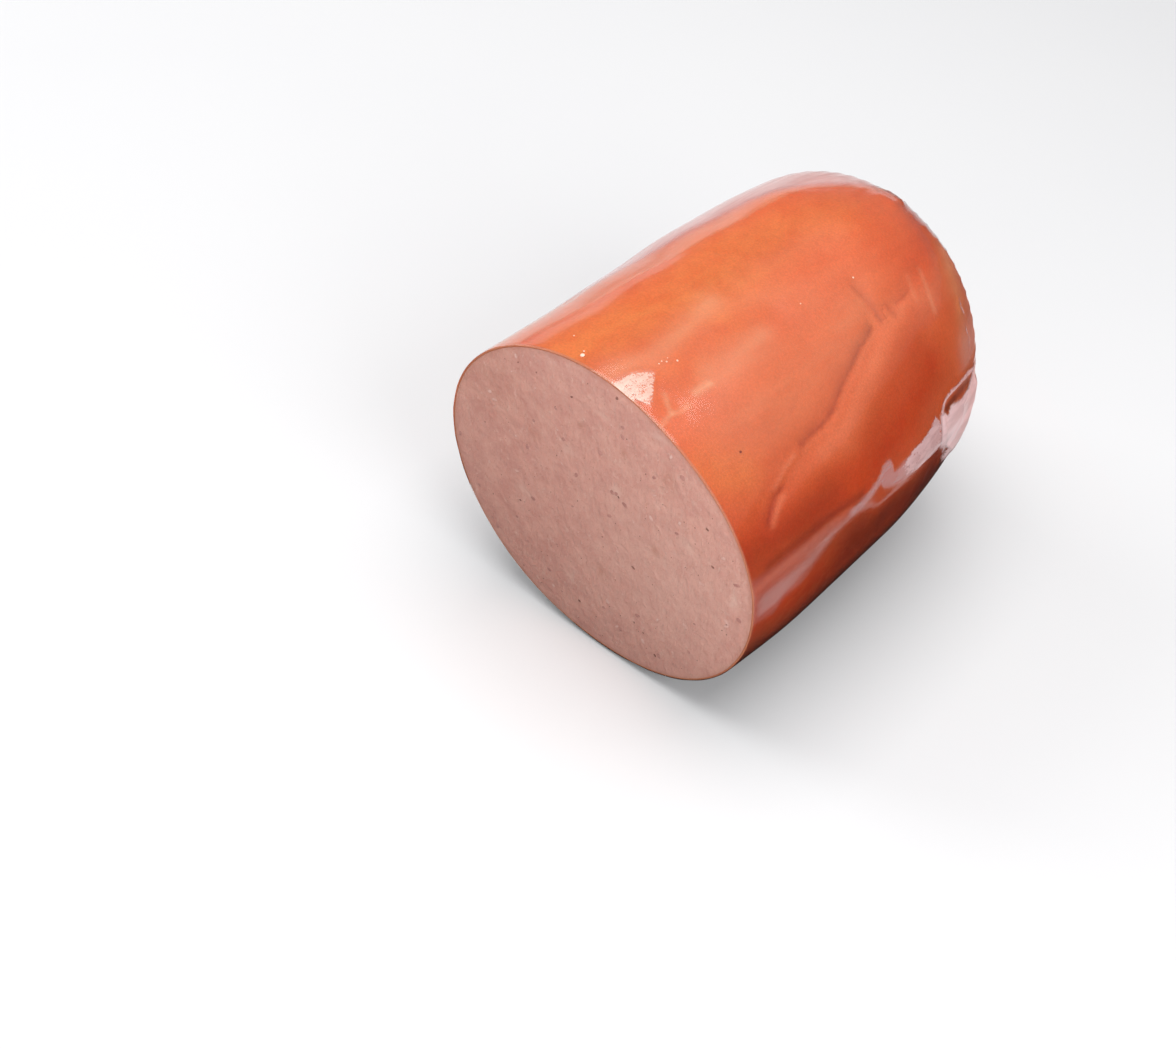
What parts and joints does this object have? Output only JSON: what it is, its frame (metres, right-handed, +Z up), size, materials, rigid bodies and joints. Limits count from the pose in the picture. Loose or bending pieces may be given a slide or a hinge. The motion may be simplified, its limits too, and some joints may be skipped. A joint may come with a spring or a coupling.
{
  "type": "luncheon sausage",
  "caption": "Thick luncheon sausage roll lying on its side, cut open flat across its near end, with smooth smoked skin and a full rounded far end.",
  "frame": {"origin": "on the table under the middle of the roll's box", "axes": "+Z up, +Y along the roll from the cut to the rounded far end, +X to its right-hand side seen from the cut"},
  "size_m": [0.1272, 0.1662, 0.1238],
  "materials": {
    "smoked_skin": "smooth smoked skin, satin to glossy, deeper red-brown low down and in its folds",
    "cut_meat": "moist fine-grained cut meat, greyish pink, with small pores and pale flecks",
    "clear_film": "thin clear glossy wrapping film, tight on the skin and puckered at the far end"
  },
  "bodies": {
    "root": {"sausage": "smoked_skin"}
  },
  "joints": []
}
